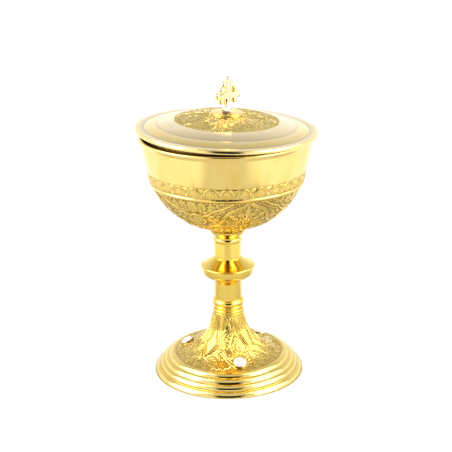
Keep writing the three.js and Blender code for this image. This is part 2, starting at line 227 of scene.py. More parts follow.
def set_up_floor():
    """Paper that is white to the camera, pale in reflections near the foot and bright farther out."""
    bpy.ops.mesh.primitive_plane_add(size=6, location=(0, 2.35, 0))
    settle()
    floor = bpy.context.object
    floor.name = "floor"
    recipe = Recipe(bpy.data.materials.new("pale_floor"))
    paper = recipe.node("ShaderNodeBsdfDiffuse", Color=(0.52, 0.52, 0.515, 1), Roughness=0.5)
    place = recipe.place()
    sideways, behind, _ = recipe.measures(place)
    aside = sideways.math("ABSOLUTE")
    apart = (aside * aside + behind * behind) ** 0.5 + 0.06 * recipe.noise(place, 17.0, 2.0)
    beyond = (apart.eased(0.27, 0.285) * aside.eased(0.1, 0.17)).math("MAXIMUM", behind.eased(0.05, 0.14))
    seen = recipe.node("ShaderNodeLightPath", output="Is Camera Ray")
    mirrored = recipe.node("ShaderNodeLightPath", output="Is Glossy Ray") * beyond
    glow = recipe.node("ShaderNodeEmission", Color=(1, 1, 1, 1), Strength=1.05 + 0.2 * mirrored)
    share = (seen * 0.95).math("MAXIMUM", mirrored)
    surface = recipe.node("ShaderNodeMixShader", _0=share, _1=paper, _2=glow)
    floor.data.materials.append(recipe.finish(surface))


# Finishes

def metal(recipe, colour, rough, bump):
    return recipe.finish(
        recipe.node("ShaderNodeBsdfPrincipled", Base_Color=colour, Metallic=1.0, Roughness=rough, Normal=bump)
    )


def gilt(name, tint, deep, polish):
    """Gilded metal: cloudy colour, handling smears, and a faintly uneven spun surface."""
    recipe = Recipe(bpy.data.materials.new(name))
    place = recipe.place()
    cloud = recipe.noise(place, 45.0, 2.0)
    fine = recipe.noise(place, 900.0, 2.0)
    smear = recipe.noise(place, 130.0, 4.0, 0.62)
    upright = recipe.node("ShaderNodeVectorMath", {"operation": "MULTIPLY"}, _0=place, _1=(1, 1, 0.22))
    streak = recipe.noise(upright, 95.0, 3.0, 0.6)
    # The darkening label is partly tarnish in the chased hollows and partly painted shade in creases, gaps,
    # recesses and under parts; it darkens and roughens the gilt.
    tarnish_and_painted_shade = recipe.attribute("tarnish_and_painted_shade")
    shade_and_tarnish_share = (tarnish_and_painted_shade * (0.8 + 0.5 * smear)).clamped()
    # Above 1 the darkening label turns the colour nearly black: painted shade.
    painted_black_shade = (tarnish_and_painted_shade - 1.0).clamped()
    rubbed = (0.9 * cloud + 1.1 * streak - 0.75).clamped()
    # The warm label moves the colour toward WALL_GOLD; on the lid it carries painted light and shade.
    clean = recipe.blend(rubbed, recipe.blend(recipe.attribute("warm"), tint, WALL_GOLD), deep)
    with_tarnish_and_painted_shade = recipe.blend(shade_and_tarnish_share, clean, (deep[0] * 0.41, deep[1] * 0.4, deep[2] * 0.6, 1))
    rough = polish + 0.06 * smear.eased(0.42, 0.75) + 0.16 * shade_and_tarnish_share + 0.03 * fine
    uneven = cloud + 0.4 * streak + 0.05 * fine
    bump = recipe.node("ShaderNodeBump", Strength=0.12, Distance=0.0004, Height=uneven)
    return metal(recipe, recipe.blend(painted_black_shade, with_tarnish_and_painted_shade, PAINTED_SHADE_BLACK), rough, bump)


def steel_finish():
    recipe = Recipe(bpy.data.materials.new("turned_steel"))
    place = recipe.place()
    rings = recipe.noise(place, 700.0, 3.0)
    stain = recipe.noise(place, 90.0, 3.0)
    colour = recipe.blend(stain.eased(0.5, 0.7), (0.55, 0.56, 0.57, 1), (0.36, 0.34, 0.31, 1))
    bump = recipe.node("ShaderNodeBump", Strength=0.3, Distance=0.0001, Height=rings)
    return metal(recipe, colour, 0.3 + 0.2 * stain, bump)


def crystal_finish():
    """Clear paste over a bright foil, as in an old collet, so it throws light back."""
    recipe = Recipe(bpy.data.materials.new("cut_paste"))
    flaw = recipe.noise(recipe.place(), 500.0, 2.0)
    return recipe.finish(
        recipe.node(
            "ShaderNodeBsdfPrincipled",
            Base_Color=recipe.blend(flaw.eased(0.45, 0.7), (1, 1, 1, 1), (0.93, 0.95, 0.97, 1)),
            Roughness=0.02 + 0.03 * flaw,
            IOR=1.6,
            Transmission_Weight=0.5,
            Coat_Weight=0.3,
        )
    )


GOLD = (0.95, 0.685, 0.15, 1)
GOLD_DEEP = (0.84, 0.56, 0.09, 1)
WALL_GOLD = (0.95, 0.73, 0.26, 1)
PALE = (0.95, 0.80, 0.50, 1)
PALE_DEEP = (0.90, 0.72, 0.40, 1)
# Nearly black painted shade, used where the darkening label goes above 1: under the lid's edge, on its
# locating ring and deep under the bowl.
PAINTED_SHADE_BLACK = (0.08, 0.045, 0.012, 1)
FINISHES = {
    "gold_polished": gilt("polished_gilt", GOLD, GOLD_DEEP, 0.07),
    "gold_satin": gilt("satin_gilt", GOLD, GOLD_DEEP, 0.16),
    "gold_pale": gilt("pale_gilt", PALE, PALE_DEEP, 0.14),
    "steel": steel_finish(),
    "crystal": crystal_finish(),
}


# Outlines in millimetres, as (radius, height)

def between(start, end, shares):
    """Points at shares of the run and of the rise from one corner to another."""
    (r0, z0), (r1, z1) = start, end
    return [(r0 + run * (r1 - r0), z0 + rise * (z1 - z0)) for run, rise in shares]


def smooth(guides, steps):
    """Points on a smooth curve through a few guide points."""
    knots = [np.array(g, float) for g in guides]
    last = len(knots) - 1
    points = []
    for i in range(steps + 1):
        at = last * i / steps
        k = min(int(at), last - 1)
        t = at - k
        before, start, end, after = (knots[max(k - 1, 0)], knots[k], knots[k + 1], knots[min(k + 2, last)])
        leave, arrive = (end - before) / 2, (after - start) / 2
        points.append(
            tuple(
                (2 * start - 2 * end + leave + arrive) * t**3
                + (3 * end - 3 * start - 2 * leave - arrive) * t**2
                + leave * t
                + start
            )
        )
    return points


def half_round(start, end, bulge, steps):
    """Points on an arc that stands proud of its chord by the bulge, to the right of the way."""
    a, b = np.array(start, float), np.array(end, float)
    half = np.linalg.norm(b - a) / 2
    along = (b - a) / (2 * half)
    side = np.array([along[1], -along[0]])
    radius = (half**2 + bulge**2) / (2 * bulge)
    sweep = math.asin(min(1.0, half / abs(radius))) * (1 if radius > 0 else -1)
    middle = (a + b) / 2 + side * (bulge - radius)
    turns = [sweep * (2 * i / steps - 1) for i in range(steps + 1)]
    return [tuple(middle + radius * (math.cos(t) * side + math.sin(t) * along)) for t in turns]


def evenly(points, spacing):
    """The same line with its points a steady distance apart."""
    line = np.array(points, float)
    length = np.concatenate([[0], np.cumsum(np.linalg.norm(np.diff(line, axis=0), axis=1))])
    stations = np.linspace(0, length[-1], max(2, round(length[-1] / spacing) + 1))
    return [tuple(float(np.interp(s, length, line[:, side])) for side in (0, 1)) for s in stations]


def rounded(points, radius, steps=3):
    """The outline with its inner corners eased by a small radius."""
    eased = [points[0]]
    for before, corner, after in zip(points, points[1:], points[2:]):
        a, c, b = (np.array(p, float) for p in (before, corner, after))
        reach_a, reach_b = np.linalg.norm(a - c), np.linalg.norm(b - c)
        cut = min(radius, 0.45 * reach_a, 0.45 * reach_b)
        start, end = c + (a - c) * cut / reach_a, c + (b - c) * cut / reach_b
        for i in range(steps + 1):
            t = i / steps
            eased.append(tuple((1 - t) ** 2 * start + 2 * t * (1 - t) * c + t**2 * end))
    eased.append(points[-1])
    return eased


# Chased ornament: strokes laid over a turned surface

SPREADS = {
    "blade": ((0, 0.2, 0.45, 0.75, 1), (0.45, 0.85, 1.0, 0.72, 0.12)),
    "petal": ((0, 0.5, 0.8, 1), (0.75, 1.0, 0.8, 0.25)),
    "tail": ((0, 1), (1.0, 0.3)),
    "even": ((0, 1), (1.0, 1.0)),
}


def spread(along, form):
    """How wide a chaser's stroke is along its way, as a share of its greatest width."""
    return np.interp(along, *SPREADS[form])


def crest(share, cut):
    """Height across a stroke, from 1 at its middle to 0 at its edge."""
    inside = np.clip(1 - share**2, 0, 1) ** 0.5
    if cut == "leaf":
        return inside * (1 - 0.6 * np.exp(-((share / 0.2) ** 2)))
    if cut == "ribbon":
        return np.clip((1 - share) / 0.18, 0, 1) * (0.4 + 0.6 * np.exp(-(((share - 0.7) / 0.17) ** 2)))
    if cut == "flat":
        return np.clip((1 - share) / 0.2, 0, 1)
    if cut == "ridge":
        return 1 - share
    return inside


class Chasing:
    """Relief of one repeat of an ornament, as heights over turn (degrees) and way along the outline (mm)."""

    def __init__(self, line, repeats, columns, ground):
        self.line = np.array(line, float)
        steps = np.linalg.norm(np.diff(self.line, axis=0), axis=1)
        self.way = np.concatenate([[0], np.cumsum(steps)])
        self.span = 360 / repeats
        self.turn = np.arange(columns) * self.span / columns
        self.ground = ground
        self.level = np.full((len(self.way), columns), float(ground))
        self.shade = np.zeros(len(self.way))

    def hollows(self):
        """From 0 to 1, how far each point lies below those round it: tarnish where no polishing cloth
        reaches, and painted shade in the recesses.
        """
        around = np.pad(self.level, ((3, 3), (0, 0)), mode="edge")
        around = sum(np.roll(around, shift, axis=1) for shift in range(-3, 4)) / 7
        rows = len(self.way)
        around = sum(around[shift : shift + rows] for shift in range(7)) / 7
        low = np.clip((around - self.level) / (0.08 + 0.3 * abs(self.ground)), 0, 1)
        deep = np.clip(self.level / self.ground, 0, 1)
        return np.clip(0.9 * low + 0.3 * deep**2, 0, 1)

    def shallower(self, share):
        self.level *= share
        self.ground *= share

    def degrees(self, length, way):
        return math.degrees(length / np.interp(way, self.way, self.line[:, 0]))

    def off(self, centre, angle, half_width, half_height):
        """The point of an oval round a centre at an angle in radians."""
        way = centre[1] + half_height * math.sin(angle)
        return (centre[0] + self.degrees(half_width * math.cos(angle), way), way)

    def aside(self, turn, scale):
        """How far each column lies from a turn; the scale is each row's mm to a degree."""
        half = self.span / 2
        return (np.mod(self.turn - turn + half, self.span) - half)[None, :] * scale

    def raised(self, share, top, cut):
        return self.ground + (top - self.ground) * crest(np.minimum(share, 1), cut)

    def sunk(self, field, where, dig=0.0):
        return np.where(where, np.minimum(field, self.ground - dig), field)

    def nearness(self, path, width, form, reach):
        """Rows that a stroke may touch, and how near its middle each of their points lies: 1 at its edge."""
        points = np.array(path, float)
        first = np.searchsorted(self.way, points[:, 1].min() - reach)
        last = np.searchsorted(self.way, points[:, 1].max() + reach)
        rows = slice(max(first - 1, 0), last + 1)
        way = self.way[rows][:, None]
        scale = np.radians(1) * self.line[rows, 0][:, None]
        nearest = np.full((way.shape[0], len(self.turn)), 99.0)
        apart = np.full_like(nearest, 99.0)
        pieces = len(points) - 1
        for i, ((t0, s0), (t1, s1)) in enumerate(zip(points, points[1:])):
            x, y = self.aside(t0, scale), way - s0
            vx, vy = (t1 - t0) * scale, s1 - s0
            at = np.clip((x * vx + y * vy) / (vx**2 + vy**2 + 1e-9), 0, 1)
            gap = np.hypot(x - at * vx, y - at * vy)
            wide = width * spread((i + at) / pieces, form)
            share = gap / wide
            closer = share < nearest
            nearest = np.where(closer, share, nearest)
            apart = np.where(closer, gap - wide, apart)
        return rows, nearest, apart

    def stroke(self, path, width, top, cut="round", form="blade", moat=0.3, bends=4, dig=0.08):
        """Raises a stroke over what is there, with a cut line round it."""
        if bends:
            path = smooth(path, bends * (len(path) - 1))
        rows, share, apart = self.nearness(path, width, form, width + moat)
        field = self.sunk(self.level[rows], (apart > 0) & (apart < moat), dig)
        self.level[rows] = np.where(share < 1, self.raised(share, top, cut), field)

    def groove(self, path, width, depth, bends=4):
        if bends:
            path = smooth(path, bends * (len(path) - 1))
        rows, share, _ = self.nearness(path, width, "even", width)
        self.level[rows] -= depth * np.clip(1 - share, 0, 1)

    def both(self, work, path, *rest, **more):
        """Does the work on a path and on its mirror image about the repeat's start."""
        getattr(self, work)(path, *rest, **more)
        getattr(self, work)([(-t, s) for t, s in path], *rest, **more)

    def oval(self, centre, half_width, half_height, top, cut="flat", moat=0.3):
        t0, s0 = centre
        x = self.aside(t0, np.radians(1) * self.line[:, 0][:, None])
        y = self.way[:, None] - s0
        share = np.hypot(x / half_width, y / half_height)
        edge = (share - 1) * min(half_width, half_height)
        field = self.sunk(self.level, (edge > 0) & (edge < moat))
        self.level = np.where(share < 1, self.raised(share, top, cut), field)

    def hoop(self, centre, half_width, half_height, width, top):
        ring = [self.off(centre, a, half_width, half_height) for a in np.linspace(0, 2 * math.pi, 33)]
        self.stroke(ring, width, top, "round", "even", 0.25, 0)

    def leaf(self, spine, breadth, lobes, top, lean=48, thick=1.0, curl=20, rib=0.35):
        """An acanthus leaf: one body with lobes down both sides, each lobe veined, and a midrib."""
        points = smooth(spine, 24)
        strokes = [(points[:23], breadth * 0.3, "blade"), (points[12:], thick * 0.9, "petal")]
        veins = []
        for k in range(1, lobes + 1):
            share = k / (lobes + 0.7)
            at = min(int(share * 20) + 1, 21)
            t0, s0 = points[at]
            local = np.radians(1) * np.interp(s0, self.way, self.line[:, 0])
            beyond = points[at + 2]
            heading = math.degrees(math.atan2(beyond[1] - s0, (beyond[0] - t0) * local))
            reach = breadth * (0.75 + 0.65 * math.sin(math.pi * min(1.0, 0.25 + 0.8 * share)))
            for side in (-1, 1):
                way = [(t0, s0)]
                for turn in (side * lean, side * (lean - curl)):
                    t, s = way[-1]
                    out = math.radians(heading + turn)
                    across = self.degrees(0.5 * reach * math.cos(out), s)
                    way.append((t + across, s + 0.5 * reach * math.sin(out)))
                strokes.append((way, thick * 0.72, "petal"))
                veins.append(way)
        for path, width, form in strokes:
            rows, _, apart = self.nearness(path, width, form, width + 0.35)
            self.level[rows] = self.sunk(self.level[rows], (apart > -0.1) & (apart < 0.32), 0.08)
        for i, (path, width, form) in enumerate(strokes):
            rows, share, _ = self.nearness(path, width, form, width)
            peak = top - (0.2 if i == 0 else 0.0)
            field = self.level[rows]
            body = np.maximum(field, self.raised(share, peak, "round"))
            self.level[rows] = np.where(share < 1, body, field)
        for path in veins:
            self.groove(path, 0.3, 0.24, 0)
        if rib:
            self.stroke(points[:21], rib, top + 0.1, "round", "tail", 0.16, 0)

    def coil(self, centre, size, turns, start, hand=1):
        """A path that winds in on a centre."""
        path = []
        for i in range(int(14 * turns) + 1):
            share = i / (14 * turns)
            reach = size * (1 - 0.8 * share)
            angle = math.radians(start) + hand * 2 * math.pi * turns * share
            path.append(self.off(centre, angle, reach, reach))
        return path


# Bench work

def put_everything_down():
    if bpy.context.object and bpy.context.object.mode != "OBJECT":
        bpy.ops.object.mode_set(mode="OBJECT")
    bpy.ops.object.select_all(action="DESELECT")


def take_up(piece):
    put_everything_down()
    piece.select_set(True)
    bpy.context.view_layer.objects.active = piece


def settle():
    """Takes the place, turn and size of what is in hand into its mesh."""
    bpy.ops.object.transform_apply(location=True, rotation=True, scale=True)


def apply_modifier(piece, kind, **settings):
    take_up(piece)
    modifier = piece.modifiers.new(kind.lower(), kind)
    for name, value in settings.items():
        setattr(modifier, name, value)
    bpy.ops.object.modifier_apply(modifier=modifier.name)


def spun(name, outline, sides=192, height=0.0, crease=35):
    """Spins a closed outline of (radius, height) points round the stem's axis."""
    put_everything_down()
    bpy.ops.mesh.primitive_plane_add(size=MM)
    piece = bpy.context.object
    piece.name = name
    bpy.ops.object.mode_set(mode="EDIT")
    bpy.ops.mesh.select_mode(type="VERT")
    bpy.ops.mesh.select_all(action="SELECT")
    bpy.ops.mesh.merge(type="CENTER")
    closed = [*outline, outline[0]]
    bpy.ops.transform.translate(value=(closed[0][0] * MM, 0, (closed[0][1] + height) * MM))
    for (r0, z0), (r1, z1) in zip(closed, closed[1:]):
        bpy.ops.mesh.extrude_region_move(
            TRANSFORM_OT_translate={"value": ((r1 - r0) * MM, 0, (z1 - z0) * MM)}
        )
    bpy.ops.object.mode_set(mode="OBJECT")
    apply_modifier(
        piece, "SCREW", steps=sides, render_steps=sides, angle=2 * math.pi, axis="Z", use_smooth_shade=False,
        use_merge_vertices=True, merge_threshold=0.001 * MM,
    )
    bpy.ops.object.mode_set(mode="EDIT")
    bpy.ops.mesh.select_all(action="SELECT")
    bpy.ops.mesh.remove_doubles(threshold=0.002 * MM)
    bpy.ops.mesh.normals_make_consistent(inside=False)
    bpy.ops.object.mode_set(mode="OBJECT")
    bpy.ops.object.shade_smooth_by_angle(angle=math.radians(crease))
    return piece


def points_of(piece):
    """Where a piece's points are, in mm."""
    points = np.empty(3 * len(piece.data.vertices), np.float32)
    piece.data.vertices.foreach_get("co", points)
    return points.reshape(-1, 3).astype(float) / MM


def label(piece, name, values):
    """Gives every point of a piece a number that its finish reads."""
    layer = piece.data.attributes.new(name, "FLOAT", "POINT")
    layer.data.foreach_set("value", np.asarray(values, np.float32))


def mark(piece, name, share):
    """Labels every point by its distance from the axis and its height, in mm."""
    points = points_of(piece)
    values = share(np.hypot(points[:, 0], points[:, 1]), points[:, 2])
    label(piece, name, np.ones(len(points)) * values)


def ramp(value, start, length):
    """0 up to the start, 1 beyond the length, and an even rise between."""
    return np.clip((value - start) / length, 0, 1)


def outward(line):
    """The way out at each point of an outline, which runs with the outside on its right."""
    points = np.array(line, float)
    along = np.gradient(points, axis=0)
    out = np.stack([along[:, 1], -along[:, 0]], axis=1)
    return out / np.linalg.norm(out, axis=1)[:, None]


def inside_of(line, depth, every=12):
    """A coarser outline that runs back under a line at a steady depth."""
    points = np.array(line, float) - depth * outward(line)
    picked = sorted({*range(0, len(points), every), len(points) - 1}, reverse=True)
    return [tuple(points[i]) for i in picked]


def chased(name, work, rest, height=0.0, start=0, painted_shade_and_tarnish_strength=1.0):
    """Spins the line that an ornament was drawn on, closed by the rest of its outline, and drives the
    ornament in from the starting turn on."""
    line = [tuple(p) for p in work.line]
    columns = work.level.shape[1]
    sides = columns * round(360 / work.span)
    piece = spun(name, [*line, *rest], sides, height, crease=70)
    points = points_of(piece)
    radius = np.hypot(points[:, 0], points[:, 1])
    row = np.interp(points[:, 2] - height, work.line[:, 1], np.arange(len(line)), left=-1, right=-1)
    row = np.rint(row).astype(int)
    face = (row >= 0) & (np.abs(radius - work.line[row, 0]) < 0.03)
    turn = np.degrees(np.arctan2(points[:, 1], points[:, 0])) - start
    column = np.rint(turn * sides / 360).astype(int) % columns
    push = np.where(face, work.level[row, column], 0)
    out = outward(line)[row]
    points[:, :2] += (push * out[:, 0] / np.maximum(radius, 1e-6))[:, None] * points[:, :2]
    points[:, 2] += push * out[:, 1]
    piece.data.vertices.foreach_set("co", (points * MM).astype(np.float32).ravel())
    # The relief's recesses are darkened with tarnish and painted shade, plus the work's own painted shade.
    painted_shade_and_tarnish = painted_shade_and_tarnish_strength * work.hollows()[row, column] + work.shade[row]
    label(piece, "tarnish_and_painted_shade", np.where(face, painted_shade_and_tarnish, 0))
    piece.data.update()
    return piece


def set_on_lid(piece):
    """Lays a piece that was made upright over the lid's centre into the lid's resting place."""
    take_up(piece)
    tip = Matrix.Rotation(math.radians(LID_TILT), 4, "Y")
    to_lip = Matrix.Translation((RIM_RADIUS * MM, 0, LID_REST * MM))
    piece.matrix_world = to_lip @ tip @ Matrix.Translation((-RIM_RADIUS * MM, 0, 0))
    settle()


def deliver(piece, body, slot, *nodes):
    piece.data.materials.clear()
    piece.data.materials.append(FINISHES[slot])
    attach(piece, body)
    if nodes:
        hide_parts(*nodes)


# The foot

WALL = 1.4
ROD_BORE = 3.3
MOULDINGS = [(55.3, 0), (51.75, 4.1), (48.9, 8.05), (44.8, 11.5), (40.7, 14.1)]
MOULDING_BULGE = 0.95
NECK_RADIUS = 10.6
NECK_BAND = (11.4, 45.6)
NECK_BEAD_FOOT = 48.9
FLANK_SHAPE = [
    (0, 0), (0.195, 0.048), (0.365, 0.117), (0.519, 0.206), (0.672, 0.321),
    (0.792, 0.441), (0.877, 0.568), (0.928, 0.695), (1, 1),
]
FLANK_SPACING = 0.4
FLANK_COLUMNS = 208


def make_foot():
    rim = MOULDINGS[0][0]
    outer = [(rim - WALL, 0), (rim, 0)]
    for start, end in zip(MOULDINGS, MOULDINGS[1:]):
        outer += half_round(start, end, MOULDING_BULGE, 12)[1:]
    inner = [(r - WALL, z - WALL) for r, z in reversed(MOULDINGS[1:])]
    base = spun("foot_mouldings", outer + evenly(inner, 1.5), 256, crease=50)
    mark(base, "warm", lambda radius, height: 1.0)
    deliver(base, "cup", "gold_polished", "foot_shell")

    flank = evenly(smooth(between(MOULDINGS[-1], NECK_BAND, FLANK_SHAPE), 160), FLANK_SPACING)
    bead = half_round((NECK_RADIUS - 0.5, NECK_BEAD_FOOT), (NECK_RADIUS - 0.5, FOOT_TOP), 0.5, 10)
    neck = [
        (11.35, 45.95), (10.95, 46.1), (11.32, 46.45), (11.36, 47.3), (11.3, 48.1), (11.0, 48.5),
        (NECK_RADIUS, 48.6), (NECK_RADIUS, NECK_BEAD_FOOT), *bead,
        (ROD_BORE, FOOT_TOP), (ROD_BORE, FOOT_TOP - WALL), (NECK_RADIUS - WALL, FOOT_TOP - WALL),
    ]
    work = foot_ornament(flank, FLANK_COLUMNS)
    field = chased("foot_flank", work, neck + inside_of(flank, WALL), start=-150)
    mark(field, "warm", lambda radius, height: 0.6 * ramp(radius, 14, 18))
    deliver(field, "cup", "gold_satin", "foot_shell")


def foot_ornament(line, columns):
    """Three lancets down the neck, a scrolled panel over each stone, and leaves to a beaded edge."""
    work = Chasing(line, 3, columns, -0.62)

    def at(*path):
        return [(turn + 150, way) for turn, way in path]

    def halves(widths, inset=1.0):
        """Both sides of the lancet, from its half widths."""
        return [at(*[(-130 + side * inset * wide, way) for way, wide in widths]) for side in (-1, 1)]

    # leaves of the spreading field, on both sides of each lancet's foot
    for spine, breadth, lobes in (
        (((-131, 12), (-141, 12.5), (-152, 10), (-160, 4)), 5.0, 6),
        (((-131, 12), (-121, 12), (-112, 9), (-104, 3.5)), 4.6, 5),
        (((-131, 11), (-137, 8), (-142, 5), (-146, 2)), 3.2, 3),
        (((-131, 11), (-126, 8), (-121, 5), (-117, 2)), 3.2, 3),
        (((-147, 22), (-153, 18.5), (-161, 15), (-168, 9)), 4.2, 5),
        (((-113, 22), (-109, 19), (-104, 16), (-98, 12)), 3.4, 4),
        (((-57, 19), (-49, 16), (-42, 12), (-36, 5.5)), 4.6, 6),
        (((-62, 12), (-55, 10), (-50, 7), (-46, 2.5)), 3.4, 4),
        (((-64, 6), (-60, 4.5), (-57, 3), (-55, 1.5)), 2.0, 2),
        (((-131, 10), (-131, 7), (-131, 4.5), (-131, 1.6)), 2.6, 3),
    ):
        work.leaf(at(*spine), breadth, lobes, -0.06, thick=1.3)
    work.leaf(at((-40, 21), (-37, 26), (-38, 31), (-35, 36)), 2.6, 4, -0.04)
    # curled leaf and its side shoots in the scrolled panel
    work.leaf(at((-99, 21), (-104, 25), (-105, 30), (-100, 36)), 2.6, 4, -0.08)
    work.leaf(at((-70, 20), (-64, 24), (-64, 29), (-70, 36)), 3.0, 4, -0.02, thick=1.15)
    work.leaf(at((-57, 20), (-53, 24), (-56, 29), (-62, 34)), 2.2, 3, -0.06, thick=0.95)
    work.leaf(at((-84, 19), (-87, 25), (-83, 32), (-90, 41)), 3.6, 6, 0.04, lean=60, thick=1.2)
    for centre, size, start, hand in (
        ((-94, 23.5), 1.9, 250, -1), ((-77, 24), 1.9, 290, 1),
        ((-95, 31.5), 1.3, 200, -1), ((-76, 33), 1.3, 300, 1),
    ):
        work.stroke(at(*work.coil(centre, size, 1.5, start, hand)), 0.5, 0.05, "round", "tail", 0.25, 0)
    for turn, foot, head in (
        (-110, 33, 41), (-104, 36, 44), (-96, 39, 45.6), (-86, 41, 45.6), (-76, 39, 45.6),
        (-66, 37, 44.5), (-60, 34, 42), (-52, 33, 41), (-46, 36, 44), (-40, 31, 40),
        (-36, 38, 45), (-32, 33, 42), (-152, 34, 44),
    ):
        blade = at((turn, foot), (turn + 1, (foot + head) / 2), (turn - 2, head))
        work.stroke(blade, 0.75, -0.08, "leaf", "blade", 0.25)
    work.shallower(0.45)
    # ridge that parts the panel from the field on the right, and the fine ribs beside it
    for i in range(3):
        along = ((-70, 4.5, 38.5), (-61, 4.5, 32), (-56, 4.05, 26), (-50, 3.6, 20), (-45, 3.15, 16.5))
        ridge = at(*[(turn + i * shift, way) for turn, shift, way in along])
        work.stroke(ridge, 0.42, 0.06, "round", "tail", 0.45, dig=0.26)
    for i in range(3):
        rib = at((-60 + 2.4 * i, 18.5 + 1.2 * i), (-46, 19 + 1.6 * i), (-34, 14 + 1.6 * i), (-27, 7))
        work.stroke(rib, 0.4, 0.04, "round", "tail", 0.42, dig=0.22)
    # wreath round the stone
    stone = (STONE_FIRST_ANGLE, 10.6)
    for i in range(13):
        degrees = -35 + 20.8 * i
        if 200 < degrees < 340:
            continue
        root, tip = (work.off(stone, math.radians(degrees), reach, reach) for reach in (5.6, 9.0))
        bend = ((root[0] + tip[0]) / 2 + 1.2, (root[1] + tip[1]) / 2)
        work.stroke(at(root, bend, tip), 1.15, 0.02, "leaf", "petal")
    work.hoop(at(stone)[0], 5.9, 5.9, 0.42, 0.1)
    # crossed bands that run down into the zigzag of the edge
    for band in (
        ((-104, 18), (-97, 14.5), (-90, 10), (-87, 8.6)),
        ((-100, 19), (-94, 15.5), (-88, 12), (-84, 9.5)),
    ):
        work.stroke(at(*band), 0.5, 0.06, "round", "even", 0.42, dig=0.22)
    zigzag = at(
        (-82, 4.2), (-86.7, 8.6), (-91.5, 3.8), (-93.3, 5.6), (-97, 1.6), (-100.3, 5), (-103.5, 2.2),
        (-107, 5.2), (-110, 2.2),
    )
    work.stroke(zigzag, 0.55, 0.22, "ridge", "even", 0.45, 0, 0.22)
    work.stroke(at((-69, 4.4), (-64, 8.5), (-60, 4), (-57, 6.5)), 0.45, 0.1, "ridge", "even", 0.3, 0)
    # lancet: a smooth hollow blade within a double edge
    for step in range(9):
        inset = 0.9 - 0.1 * step
        foot = 24.5 - (24.5 - 13.8) * inset
        widths = [(44, 3.4), (38, 5.4), (31, 9.6), (24.5, 16.5), (20.5, 11.5), (17, 6.2), (foot, 0.2)]
        for side in halves(widths, inset):
            work.stroke(side, 0.9, 0.12 - 0.025 * step, "flat", "even", 0.0, 0)
    outer = halves([(45, 3.4), (38, 5.6), (31, 10.2), (24.5, 18), (20.5, 12.5), (17, 6.5), (13.2, 0)])
    inner = halves([(44, 1.2), (38, 3.0), (31, 6.8), (24.8, 13.4), (21, 9.0), (18, 4.4), (16.2, 0)])
    for edge, line_within in zip(outer, inner):
        work.stroke(edge, 0.55, 0.42, "ridge", "even", 0.62, 0, 0.25)
        work.stroke(line_within, 0.36, 0.2, "round", "even", 0.4, 0, 0.2)
    # beaded edge
    for i in range(60):
        work.oval((i * 2, 0.95), 0.5, 0.5, -0.02, "round", 0.12)
    work.groove([(turn, 1.75) for turn in range(0, 121, 30)], 0.3, 0.15, 0)
    return work


# The stem

STEM_WALL = 1.3
RING_GROOVE = 10.5
RING_HEIGHT = 4.8
KNOP_SEAT = 10.5
KNOP_RADIUS = 19
KNOP_BOWL_HEIGHT = 11.4
KNOP_LIP = 1.7
KNOP_CONE_HEIGHT = 7.2
KNOP_SHAPE = [(0, 0), (0.29, 0.24), (0.64, 0.42), (0.88, 0.56), (0.98, 0.74), (1, 1)]
COVE = (10.1, 3.7)
CUP_SEAT = (13.8, 10.2)
FUNNEL_SHAPE = [(0, 0), (0.1, 0.2), (0.4, 0.42), (0.8, 0.72), (1, 1)]


def make_stem():
    bead = half_round((RING_GROOVE, 0), (RING_GROOVE, RING_HEIGHT), 1.2, 18)
    ring = [(ROD_BORE, 0), *bead, (ROD_BORE, RING_HEIGHT)]
    deliver(spun("stem_ring_bead", ring, 128, FOOT_TOP), "cup", "gold_polished", "stem_ring")
    for name, radius, foot, length, node in (
        ("lower_stem", 10, LOWER_TUBE_FOOT, 13.3, "stem_tube_lower"),
        ("upper_stem", 9.6, UPPER_TUBE_FOOT, 12.1, "stem_tube_upper"),
    ):
        bore = radius - STEM_WALL
        wall = [(bore, 0), (radius, 0), (radius, length), (bore, length)]
        deliver(spun(name, wall, 128, foot), "cup", "gold_satin", node)

    belly = between((KNOP_SEAT, 0), (KNOP_RADIUS, KNOP_BOWL_HEIGHT), KNOP_SHAPE)
    inside = [(r - STEM_WALL, z + 0.8 * STEM_WALL) for r, z in reversed(smooth(belly, 20))][1:-2]
    rim = KNOP_RADIUS - STEM_WALL
    lower = [(ROD_BORE, 0), *smooth(belly, 40), (rim, KNOP_BOWL_HEIGHT), *inside, (ROD_BORE, STEM_WALL)]
    deliver(spun("knop_bowl", lower, 160, KNOP_FOOT), "cup", "gold_polished", "knop_lower")
    lip = half_round((KNOP_RADIUS, 0), (KNOP_RADIUS, KNOP_LIP), 0.7, 10)
    upper = [
        (rim, 0), *lip, (17.4, 1.9), (10.1, KNOP_CONE_HEIGHT), (ROD_BORE, KNOP_CONE_HEIGHT),
        (ROD_BORE, KNOP_CONE_HEIGHT - STEM_WALL), (9.06, KNOP_CONE_HEIGHT - STEM_WALL), (16.1, 0.92),
    ]
    deliver(spun("knop_cone", upper, 160, KNOP_SEAM), "cup", "gold_polished", "knop_upper")

    bead = half_round((COVE[0], 0.7), COVE, 0.4, 10)
    funnel = smooth(between(COVE, CUP_SEAT, FUNNEL_SHAPE), 24)[1:]
    bore = [(9.9, CUP_SEAT[1]), (9.9, 4.8), (ROD_BORE, 4.8)]
    collar = [(ROD_BORE, 0), (COVE[0], 0), *bead, *funnel, *bore]
    deliver(spun("collar", collar, 128, COLLAR_FOOT), "cup", "gold_polished", "cup_collar")


# The cup

CUP_HEIGHT = 69.8
CUP_WALL = 1.3
BELLY_TOP = (57.2, 45.6)
BELLY_SHAPE = [(0, 0), (0.116, 0.061), (0.285, 0.127), (0.454, 0.215), (0.736, 0.456), (0.94, 0.785), (1, 1)]
BELLY = between((CUP_SEAT[0], 0), BELLY_TOP, BELLY_SHAPE)
THROAT = (61.6, 66.1)
BAND_FOOT = 55.2


